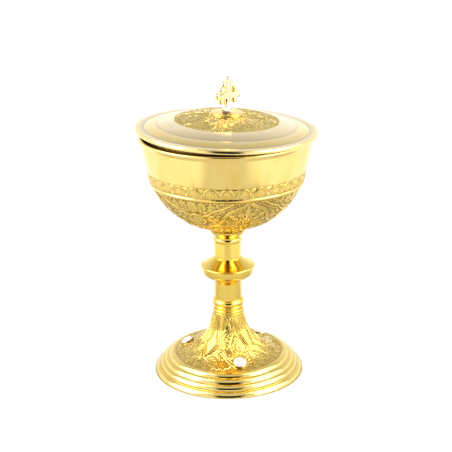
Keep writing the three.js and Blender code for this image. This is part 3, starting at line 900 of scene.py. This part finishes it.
def make_cup():
    wall = smooth([*BELLY, THROAT], 160)
    ends = next(i for i, (_, z) in enumerate(wall) if z > BELLY_TOP[1])
    lip = half_round((62.4, 67.9), (61.9, CUP_HEIGHT), 0.5, 12)
    inside = [(r - CUP_WALL, z + 0.35 * CUP_WALL) for r, z in reversed(smooth([*BELLY[1:], THROAT], 60))]
    lining = inside_of(wall[: ends + 1], 1.05, 4)[::-1]
    cup = [
        (0, 0.6), (13, 0.6), *lining[1:], *wall[ends:], *lip, (60.95, CUP_HEIGHT), *inside,
        (12.5, 1.35 * CUP_WALL), (0, CUP_WALL),
    ]
    bowl = spun("cup_bowl", cup, 256, CUP_FOOT, crease=45)
    mark(bowl, "warm", lambda radius, height: height > CUP_FOOT + 45)
    deliver(bowl, "cup", "gold_polished", "cup_shell")
    for name, ornament, columns, spacing, first, last, start, painted_shade_and_tarnish_strength in (
        ("chased_belly", belly_ornament, 190, 0.46, 0, BAND_FOOT + 0.3, -73, 1.0),
        ("leaf_band", leaf_band, 40, 0.3, BAND_FOOT, 99, 0, 0.55),
    ):
        line = np.array(evenly(wall[: ends + 1], spacing))
        way = np.concatenate([[0], np.cumsum(np.linalg.norm(np.diff(line, axis=0), axis=1))])
        line = line[(way >= first) & (way <= last)]
        piece = chased(name, ornament(line, columns), inside_of(line, 1.0, 16), CUP_FOOT, start, painted_shade_and_tarnish_strength)
        mark(piece, "warm", lambda radius, height: 0.5 * ramp(radius, 35, 18))
        deliver(piece, "cup", "gold_polished", "cup_shell")


def belly_ornament(line, columns):
    """Four ogee frames with palmettes, and between them ringed discs under a crown of leaves."""
    work = Chasing(line, 4, columns, -0.75)
    disc = (45, 36)
    for turn in range(0, 90, 15):
        work.stroke([(turn, 1), (turn, 5), (turn, 9), (turn, 13.5)], 2.5, -0.1, "leaf", "blade")
        work.stroke([(turn + 7.5, 6), (turn + 7.5, 10), (turn + 7.5, 15.5)], 1.2, -0.2, "leaf")
    # scrolls and leaves under the frames and the discs
    work.both("leaf", [(0, 14.5), (5, 17), (12, 19), (19, 18)], 3.0, 4, -0.08, thick=1.1)
    work.both("leaf", [(45, 15), (38, 17), (31, 20.5), (26, 25.5)], 3.2, 4, -0.05, thick=1.2)
    work.both("leaf", [(45, 16), (42, 19), (38, 22), (36.5, 26)], 2.6, 3, -0.05, thick=1.1)
    work.leaf([(45, 15), (45, 18), (45, 21), (45, 25.5)], 2.8, 3, 0.0, thick=1.1)
    work.both("stroke", work.coil((20.5, 22.3), 2.7, 1.7, 60), 0.7, 0.05, "round", "tail", 0.3, 0)
    # palmette within the frame
    for frond in (
        ((3.5, 22), (11, 23.5), (18, 27), (24.5, 30)), ((3, 25), (9.5, 29.5), (15, 33.8), (19.5, 36.6)),
        ((2.6, 27), (7, 34), (11.3, 39.5), (15, 43)), ((1.4, 28), (3.6, 37.5), (6.4, 44.5), (8.2, 48.2)),
    ):
        work.both("leaf", frond, 3.1, 3, -0.04, lean=34, thick=1.45, rib=0.34)
    work.leaf([(0, 19), (0, 32), (0, 42), (0, 52)], 4.0, 5, 0.04, lean=36, thick=1.5)
    work.both("stroke", work.coil((14.6, 31.4), 2.7, 1.4, 200), 0.72, 0.08, "round", "tail", 0.35, 0)
    # crown of leaves over the disc, and the leaves beside it
    work.both("leaf", [(37, 31.5), (31, 31.2), (27.5, 33), (25.2, 37.5)], 3.2, 3, -0.05, thick=1.5)
    work.both("leaf", [(38, 37), (32.5, 38), (27.5, 40.5), (24, 45.3)], 4.0, 3, -0.05, thick=1.7)
    work.both("leaf", [(38.5, 40), (32.5, 43), (29, 47.5), (30, 54.6)], 4.2, 3, -0.04, thick=1.9)
    work.both("leaf", [(42, 41), (37.8, 45.5), (37.2, 49.5), (36.6, 55)], 3.9, 3, 0.0, thick=1.9)
    work.leaf([(45, 41), (45, 46), (45, 50), (45, 55)], 4.2, 3, 0.04, thick=1.9)
    # stems and volutes above the frame
    work.both("leaf", [(28.5, 48), (23.5, 51), (20.5, 52.6), (17, 54.9)], 2.6, 3, -0.06, thick=1.1)
    work.both("leaf", [(21.5, 50.6), (18, 52.3), (15.5, 53.6), (12, 55)], 1.7, 2, -0.06, thick=0.9)
    work.both("leaf", [(26, 43.6), (22.5, 45), (20, 46.8), (16.4, 50.2)], 2.0, 3, -0.1, thick=0.95)
    stem = [
        (38, 40.8), (32.5, 43.2), (27.5, 46.6), (22, 48.6), (17.4, 50.8), (13.6, 53.2), (10.2, 54.3),
        (8.2, 53.3), (7.9, 51.5), (9.2, 50.6), (10.5, 51.5), (10.1, 52.6),
    ]
    work.both("stroke", stem, 0.9, 0.08, "round", "tail")
    # ogee ribbon and ringed disc
    ribbon = [
        (0, 55.2), (1.6, 53.2), (4.5, 51), (8.5, 49), (12.5, 47), (16.2, 44.2), (19.3, 40.4),
        (21.6, 36.4), (24.8, 32.8), (30.5, 29.6), (37.5, 27.6), (45, 27),
    ]
    work.both("stroke", ribbon, 1.45, 0.1, "ribbon", "even", 0.35)
    work.oval(disc, 6.4, 7.1, -0.4, "flat")
    work.hoop(disc, 5.4, 6.1, 0.95, 0.12)
    work.oval(disc, 4.1, 4.8, -0.16, "flat", 0.3)
    work.level *= np.clip(work.line[:, 0] / 30, 0.4, 1)[:, None]
    # Painted shade: the underside of the bowl darkens towards the collar, where it lies over the knop.
    work.shade = np.clip(2.0 - work.line[:, 0] / 12.5, 0, 0.9)
    return work


def leaf_band(line, columns):
    """Thirty arches with fanned ribs, the triangles between their heads, and a bead ring below."""
    work = Chasing(line, 30, columns, -0.3)
    foot, head = 3.0, 10.6
    tall = head - foot

    def beside(turn, *places):
        """Points some millimetres aside of a turn, at shares of the arch's height."""
        return [(turn + work.degrees(out, foot), foot + up * tall) for out, up in places]

    work.oval((0, foot + 0.78 * tall), 2.6, 1.6, -0.16, "flat", 0)
    for turn in (-6, 6):
        for out, up in ((3.2, 0.36), (2.5, 0.6), (1.35, 0.78)):
            for side in (-1, 1):
                fan = beside(turn, (side * 0.35 * out, 0.04), (side * 0.8 * out, 0.6 * up), (side * out, up))
                work.stroke(fan, 0.5, -0.02, moat=0.2)
        work.stroke(beside(turn, (0, 0.1), (0, 0.5), (0, 0.86)), 0.5, 0.0, moat=0.2)
        work.stroke(beside(turn, (0, 0), (0, 0.22)), 0.8, 0.05, "round", "tail", 0.15, 0)
        sides = ((-4.0, 0), (-4.1, 0.36), (-2.9, 0.76), (0, 0.98), (2.9, 0.76), (4.1, 0.36), (4.0, 0))
        work.stroke(beside(turn, *sides), 0.36, 0.08, "round", "even", 0.22, 5)
    outline = beside(0, (-3.0, 0.97), (3.0, 0.97), (0, 0.42), (-3.0, 0.97))
    work.groove(outline, 0.42, 0.42, 0)
    work.level = work.ground + 0.8 * (work.level - work.ground)
    work.oval((0, foot + 1.1), 1.1, 1.2, 0.05, "round", 0.3)
    bead = np.clip(1 - ((work.way - 1.4) / 1.3) ** 2, 0, 1) ** 0.5
    work.level[bead > 0] = (work.ground + 0.9 * bead)[bead > 0, None]
    return work


# The lid, made upright over its own centre and then laid on the lip

LID_RADIUS = 64.6
LID_BORE = 1.9
LID_WALL = 1.3
EDGE_SHAPE = [
    (-0.7, -0.8), (-0.35, -0.72), (-0.1, -0.45), (0, 0), (-0.02, 0.5), (-0.08, 1.0), (-0.2, 1.45),
    (-0.45, 1.8), (-0.9, 2.0),
]
SHOULDER_FOOT = (58.6, 2.0)
CREASE = (49.5, 4.5)
DOME_EDGE = (37.5, 7.7)
DOME_TOP = (11.8, 12.0)
PLATE_FOOT = 12.3
PLATE_TOP = 13.5
LOCATING_RING = (58.7, -5.3)


def lid_painted_shade(radius, height):
    """Painted shade: dark lines in the lid's two creases, and the underside of its edge painted nearly black
    over the lip.
    """
    creases = 0.3 * np.exp(-((radius - CREASE[0]) ** 2)) + 0.5 * (np.abs(radius - 58.5) < 0.35)
    return np.where(height < 0.4, 1.8 * (radius < RIM_RADIUS), creases * (height > 1.9))


def lid_painted_light(radius, height):
    """Painted light and shade: the lid's colour runs from the pale polished ring to deeper gold down the
    shoulder and at the edge, by how the light falls on each slope.
    """
    shoulder = ramp(radius, 47, 8) * (radius < 58.4) * (height > 2.05)
    return np.maximum(shoulder, radius > 63.4)


def deliver_on_lid(piece, slot, node):
    set_on_lid(piece)
    deliver(piece, "lid", slot, node)


def make_lid():
    edge = smooth([(LID_RADIUS + out, up) for out, up in EDGE_SHAPE], 24)
    shoulder = half_round(SHOULDER_FOOT, CREASE, 0.3, 24)
    annulus = half_round(CREASE, DOME_EDGE, 0.4, 24)[1:]
    dome = half_round(DOME_EDGE, DOME_TOP, 0.9, 60)
    top = reversed(shoulder[::6] + annulus[::6] + dome[::12])
    under = [(r - 0.3 * LID_WALL, z - LID_WALL) for r, z in top]
    bed = [(r - 0.1, z - 0.75) for r, z in dome[::4]]
    bore = [(11.6, DOME_TOP[1]), (LID_BORE, DOME_TOP[1]), (LID_BORE, DOME_TOP[1] - LID_WALL)]
    whole = [(63.3, -0.8), *edge, *shoulder, *annulus, *bed, *bore, *under, (57.3, 0), (63.3, 0)]
    lid = spun("lid_cover", whole, 256, crease=11)
    mark(lid, "warm", lid_painted_light)
    mark(lid, "tarnish_and_painted_shade", lid_painted_shade)
    deliver_on_lid(lid, "gold_pale", "lid_shell")

    field = evenly(dome, 0.33)
    relief = chased("lid_dome", dome_ornament(field, 180), inside_of(field, 0.7), start=-100, painted_shade_and_tarnish_strength=0.2)
    mark(relief, "warm", lambda radius, height: 1.0)
    deliver_on_lid(relief, "gold_polished", "lid_shell")

    reach = DOME_TOP[0]
    plate = [
        (LID_BORE, PLATE_FOOT), (reach, PLATE_FOOT), (reach, PLATE_TOP - 0.6), (reach - 0.6, PLATE_TOP),
        (LID_BORE, PLATE_TOP),
    ]
    deliver_on_lid(spun("cross_plate", rounded(plate, 0.15), 128), "gold_polished", "cross_seat_plate")

    reach, foot = LOCATING_RING
    ring = spun("lid_ring", [(reach - 1, foot), (reach, foot), (reach, foot + 5), (reach - 1, foot + 5)])
    # Painted shade: the locating ring is made nearly black, as it sits in the dark gap under the lid's edge.
    mark(ring, "tarnish_and_painted_shade", lambda radius, height: 1.8)
    deliver_on_lid(ring, "gold_satin", "lid_locating_ring")


def dome_ornament(line, columns):
    """Four small discs at the edge under crossed stems, with scrolls of leaves up to the cross's plate."""
    work = Chasing(line, 4, columns, -0.4)
    for spine, breadth, lobes in (
        (((6, 6), (12, 5), (17, 3.5), (21, 1.6)), 2.6, 4),
        (((10, 9), (18, 8.5), (25, 6), (30, 2)), 3.0, 5),
        (((20, 12), (29, 11), (35, 7.5), (38, 2.5)), 3.0, 5),
        (((4, 8), (8, 4.5), (11, 2.5), (12, 1.2)), 1.8, 2),
        (((8, 17), (18, 18), (27, 17.5), (34, 14)), 2.6, 5),
        (((3, 13), (5, 17), (9, 21), (16, 24)), 2.2, 4),
        (((30, 21), (24, 23), (18, 24), (12, 25.2)), 1.6, 3),
        (((38, 15), (40, 18), (40, 21), (36, 24.5)), 2.0, 4),
    ):
        work.both("leaf", spine, breadth, lobes, -0.02, thick=0.95, rib=0.28)
    work.leaf([(45, 3.4), (45, 9), (45, 15), (45, 21)], 3.2, 6, 0.02, thick=1.0)
    work.leaf([(0, 8.5), (0, 13), (0, 18), (0, 24.5)], 2.6, 6, 0.02, thick=0.9)
    for centre, size, start, hand in (
        ((12, 13), 1.9, 250, 1), ((27, 14.3), 1.9, 60, 1),
        ((33, 19.5), 1.6, 200, -1), ((21, 20.8), 1.4, 90, 1),
    ):
        work.both("stroke", work.coil(centre, size, 1.5, start, hand), 0.45, 0.06, "round", "tail", 0.2, 0)
    for stem, width, top, moat in (
        ([(1, 20), (1.8, 15), (4.6, 9), (7.4, 3.2)], 0.42, 0.08, 0.22),
        ([(22, 2), (17, 6.5), (13, 10.5), (8, 14.8), (3, 22)], 0.36, 0.04, 0.2),
        ([(45, 4), (38, 7), (31, 11.5), (28, 17.5), (30, 22)], 0.36, 0.04, 0.2),
    ):
        work.both("stroke", stem, width, top, "round", "even", moat)
    for turn in range(3, 45, 6):
        tongue = [(turn, 3.1), (turn + 1.2, 1.8), (turn + 1.6, 0.7)]
        work.both("stroke", tongue, 0.75, 0.05, "leaf", "petal", 0.22)
    work.oval((0, 3.5), 3.0, 2.7, -0.05, "flat", 0.35)
    work.hoop((0, 3.5), 3.1, 2.8, 0.3, 0.1)
    return work


# The stones: a cut paste in a round collet on a flat pad, three times round the foot

STONE_COUNT = 3
STONE_FIRST_ANGLE = -75.7
STONE_CIRCLE = 32.3
STONE_TILT = 24
STONE_RADIUS = 4.85
STONE_FACETS = 16
GIRDLE = 0.35
GIRDLE_FOOT = 0.8
CROWN_INSETS = ((0.75, 0.85), (0.9, 0.65))
PAVILION_INSETS = ((2.0, 0.5),)
PAD_HEIGHT = 17.05


def set_on_foot(piece, turn):
    """Sets a piece that was made upright at the origin on its pad on the foot's flank."""
    take_up(piece)
    round_foot = Matrix.Rotation(math.radians(turn), 4, "Z")
    out = Matrix.Translation((STONE_CIRCLE * MM, 0, PAD_HEIGHT * MM))
    piece.matrix_world = round_foot @ out @ Matrix.Rotation(math.radians(STONE_TILT), 4, "Y")
    settle()


def copy_of(piece, name):
    twin = piece.copy()
    twin.data = piece.data.copy()
    twin.name = name
    bpy.context.scene.collection.objects.link(twin)
    return twin


def cut_stone():
    """A brilliant: table, two rows of crown facets, a girdle and a shallow pavilion."""
    put_everything_down()
    bpy.ops.mesh.primitive_cylinder_add(
        vertices=STONE_FACETS, radius=STONE_RADIUS * MM, depth=GIRDLE * MM, location=(0, 0, GIRDLE / 2 * MM)
    )
    stone = bpy.context.object
    stone.name = "stone"
    for side, insets in ((1, CROWN_INSETS), (-1, PAVILION_INSETS)):
        bpy.ops.object.mode_set(mode="EDIT")
        bpy.ops.mesh.select_mode(type="FACE")
        bpy.ops.mesh.select_all(action="DESELECT")
        bpy.ops.object.mode_set(mode="OBJECT")
        face = max(stone.data.polygons, key=lambda f: side * f.center.z)
        face.select = True
        bpy.ops.object.mode_set(mode="EDIT")
        for row, (step, rise) in enumerate(insets):
            bpy.ops.mesh.inset(thickness=step * MM, depth=rise * MM)
            if row == 0:
                half_facet = math.pi / STONE_FACETS
                bpy.ops.transform.rotate(value=half_facet, orient_axis="Z", center_override=(0, 0, 0))
        bpy.ops.object.mode_set(mode="OBJECT")
    stone.location.z = GIRDLE_FOOT * MM
    settle()
    return stone


def make_stones():
    collet = [
        (3.5, 0.3), (5.15, 0.3), (5.15, 0.5), (5.12, 0.62), (5.08, 0.95), (5.0, 1.05), (4.9, 1.02),
        (4.84, 0.95), (4.84, 0.7), (3.5, 0.6),
    ]
    pad = [(0, -1.2), (5.25, -1.2), (5.25, -0.1), (5.1, 0.05), (0, 0.05)]
    collet_piece = spun("collet", rounded(collet, 0.15), 64)
    pad_piece = spun("collet_pad", rounded(pad, 0.1), 64)
    # Painted shade: a dark band round the foot of each collet and pad, beneath the stone.
    for made, painted_shade_and_tarnish in ((collet_piece, 0.75), (pad_piece, 0.45)):
        mark(made, "tarnish_and_painted_shade", lambda radius, height: painted_shade_and_tarnish * (radius > 4.9) * (height < 1.0))
    stone_piece = cut_stone()
    for i in range(STONE_COUNT):
        turn = STONE_FIRST_ANGLE + i * 360 / STONE_COUNT
        for made, name, slot, node in (
            (collet_piece, f"collet_{i + 1}", "gold_polished", f"stone_setting_{i + 1}"),
            (pad_piece, f"collet_pad_{i + 1}", "gold_polished", "foot_shell"),
            (stone_piece, f"cut_stone_{i + 1}", "crystal", f"stone_{i + 1}"),
        ):
            twin = copy_of(made, name)
            set_on_foot(twin, turn)
            deliver(twin, "cup", slot, node)
    for made in (collet_piece, pad_piece, stone_piece):
        bpy.data.objects.remove(made)


# The cross: square bars with ball buds at three arm ends

CROSS_FOOT = 13.8
CROSS_CENTRE = 11.7
TOP_ARM = 13.2
SIDE_ARM = 12.2
BAR = 4.3
BUD = 2.2
BUD_SPREAD = 3.8
BUD_SETBACK = 3.6
BLOCK_BASE = 5.4
BLOCK_TOP = 4.5
BLOCK_HEIGHT = 0.9
SCREW_RADIUS = 1.6
SCREW_LENGTH = 8.5
SCREW_HOLD = 0.4


def limb(operator, **settings):
    """One plain form of the cross."""
    put_everything_down()
    operator(**settings)
    return bpy.context.object


def bar(width, height, centre_z):
    made = limb(
        bpy.ops.mesh.primitive_cube_add, size=MM, location=(0, 0, centre_z * MM), scale=(width, BAR, height)
    )
    settle()
    return made


def fuse(base, others):
    for other in others:
        apply_modifier(base, "BOOLEAN", operation="UNION", solver="EXACT", object=other)
        bpy.data.objects.remove(other)
    return base


def make_cross():
    height = CROSS_CENTRE + TOP_ARM - BUD
    shaft = bar(BAR, height, height / 2)
    shaft.name = "budded_cross"
    limbs = [bar(2 * (SIDE_ARM - BUD), BAR, CROSS_CENTRE)]
    for dx, dz, length in ((0, 1, TOP_ARM), (1, 0, SIDE_ARM), (-1, 0, SIDE_ARM)):
        tip = length - BUD
        back = tip - BUD_SETBACK
        for reach, aside in ((tip, 0), (back, BUD_SPREAD), (back, -BUD_SPREAD)):
            x = dx * reach + dz * aside
            z = CROSS_CENTRE + dz * reach + dx * aside
            ball = limb(
                bpy.ops.mesh.primitive_uv_sphere_add, segments=24, ring_count=16, radius=BUD * MM,
                location=(x * MM, 0, z * MM),
            )
            limbs.append(ball)
    corner = math.sqrt(0.5) * MM
    block = limb(
        bpy.ops.mesh.primitive_cone_add, vertices=4, radius1=BLOCK_BASE * corner, radius2=BLOCK_TOP * corner,
        depth=BLOCK_HEIGHT * MM, location=(0, 0, BLOCK_HEIGHT / 2 * MM), rotation=(0, 0, math.radians(45)),
    )
    screw = limb(
        bpy.ops.mesh.primitive_cylinder_add, vertices=32, radius=SCREW_RADIUS * MM,
        depth=(SCREW_LENGTH + SCREW_HOLD) * MM, location=(0, 0, (SCREW_HOLD - SCREW_LENGTH) / 2 * MM),
    )
    cross = fuse(shaft, [*limbs, block, screw])
    sharp = math.radians(50)
    apply_modifier(cross, "BEVEL", width=0.3 * MM, segments=2, limit_method="ANGLE", angle_limit=sharp)
    take_up(cross)
    bpy.ops.object.shade_smooth_by_angle(angle=math.radians(40))
    cross.rotation_euler.z = math.radians(CROSS_TURN)
    cross.location.z = CROSS_FOOT * MM
    settle()
    # Painted shade darkens the cross's foot where it meets the plate.
    mark(cross, "tarnish_and_painted_shade", lambda radius, height: 0.65 * np.exp(-(((height - CROSS_FOOT) / 1.8) ** 2)))
    deliver_on_lid(cross, "gold_pale", "cross")


make_foot()
make_stem()
make_cup()
make_lid()
make_stones()
make_cross()
for node in frame["nodes"]:
    part = frame["nodes"][node]
    slot = next(s["material_slot"] for s in frame["record"]["subparts"] if s["node"] == node)
    part.data.materials.clear()
    part.data.materials.append(FINISHES[slot])
set_up_camera()
set_up_sky()
set_up_lamps()
set_up_floor()
bpy.context.scene.view_settings.view_transform = "Standard"
